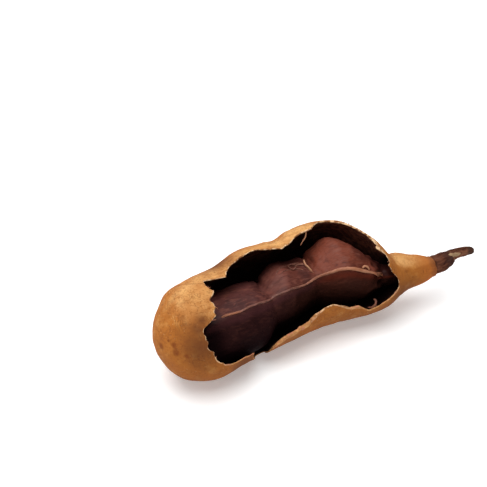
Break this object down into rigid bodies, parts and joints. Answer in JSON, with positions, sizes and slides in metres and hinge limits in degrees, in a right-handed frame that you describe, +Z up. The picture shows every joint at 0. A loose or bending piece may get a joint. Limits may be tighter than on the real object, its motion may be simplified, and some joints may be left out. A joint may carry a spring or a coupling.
{
  "type": "tamarind pod, cracked open",
  "caption": "Cracked-open tamarind pod lying on its side: brittle tan shell with a jagged window, dark lobed pulp, tough strings and a woody stalk.",
  "frame": {"origin": "under the middle of the whole pod's box, on the surface that it lies on", "axes": "+X along the pod towards its stalk, -Y towards the broken-open side, +Z up"},
  "size_m": [0.0977, 0.038, 0.0263],
  "materials": {
    "scurfy_shell": "matte",
    "sticky_pulp": "satin",
    "tough_string": "satin",
    "stalk_wood": "matte"
  },
  "bodies": {
    "root": {"shell": "scurfy_shell", "pulp": "sticky_pulp", "ridge_string": "tough_string", "back_string": "tough_string", "side_string": "tough_string", "stalk": "stalk_wood"}
  },
  "joints": []
}
